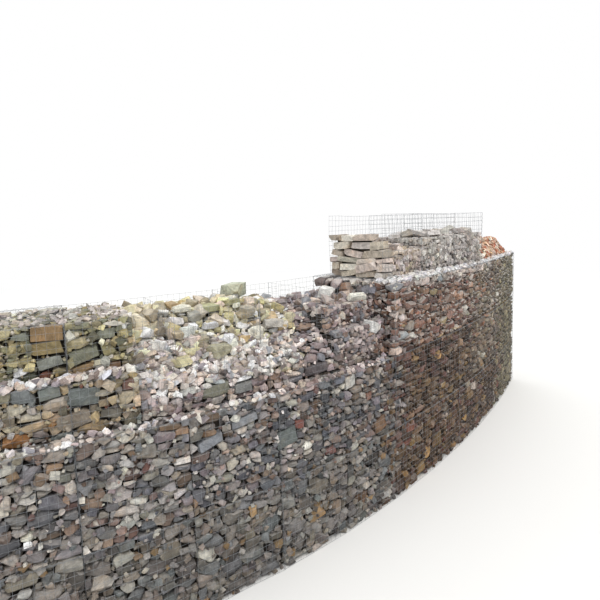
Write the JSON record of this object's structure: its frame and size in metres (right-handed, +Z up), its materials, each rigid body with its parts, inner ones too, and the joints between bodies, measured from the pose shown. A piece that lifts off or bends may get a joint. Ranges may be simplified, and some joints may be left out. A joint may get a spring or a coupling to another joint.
{
  "type": "gabion wall",
  "caption": "Curved retaining wall of welded mesh baskets packed with stone, stepped on one half, with loose rubble and one open basket still part filled on top.",
  "frame": {"origin": "middle of the base's box, at ground level", "axes": "+X along the wall from its stepped end to its full height end, +Y into the bank, away from the exposed face, +Z up"},
  "size_m": [11.7514, 2.982, 3.9144],
  "materials": {
    "galvanised_wire": "dull galvanised wire with some rust",
    "base_stone": "damp olive grey rubble stone",
    "grey_stone": "broken grey and purple grey rubble stone",
    "brown_stone": "dark brown and grey rubble stone",
    "buff_stone": "buff and olive rubble stone, dusty on top",
    "loose_stone": "pale cream and yellow loose rubble"
  },
  "bodies": {
    "root": {"base_cage_1": "galvanised_wire", "base_cage_2": "galvanised_wire", "base_cage_3": "galvanised_wire", "base_stones_1": "base_stone", "base_stones_2": "base_stone", "base_stones_3": "base_stone", "far_rubble": "loose_stone", "lower_cage_1": "galvanised_wire", "lower_cage_2": "galvanised_wire", "lower_cage_3": "galvanised_wire", "lower_cage_4": "galvanised_wire", "lower_cage_5": "galvanised_wire", "lower_cage_6": "galvanised_wire", "lower_stones_1": "grey_stone", "lower_stones_2": "grey_stone", "lower_stones_3": "grey_stone", "lower_stones_4": "brown_stone", "lower_stones_5": "brown_stone", "lower_stones_6": "brown_stone", "open_back": "galvanised_wire", "open_diaphragm_1": "galvanised_wire", "open_diaphragm_2": "galvanised_wire", "open_far_end": "galvanised_wire", "open_floor": "galvanised_wire", "open_front": "galvanised_wire", "open_stones": "loose_stone", "spilled_stones": "loose_stone", "stacked_end": "loose_stone", "step_cage_1": "galvanised_wire", "step_cage_2": "galvanised_wire", "step_cage_3": "galvanised_wire", "step_stones_1": "grey_stone", "step_stones_2": "grey_stone", "step_stones_3": "grey_stone", "top_cage_1": "galvanised_wire", "top_cage_2": "galvanised_wire", "top_cage_3": "galvanised_wire", "top_stones_1": "buff_stone", "top_stones_2": "buff_stone", "top_stones_3": "buff_stone", "upper_cage_1": "galvanised_wire", "upper_cage_2": "galvanised_wire", "upper_cage_3": "galvanised_wire", "upper_stones_1": "brown_stone", "upper_stones_2": "brown_stone", "upper_stones_3": "brown_stone"}
  },
  "joints": []
}
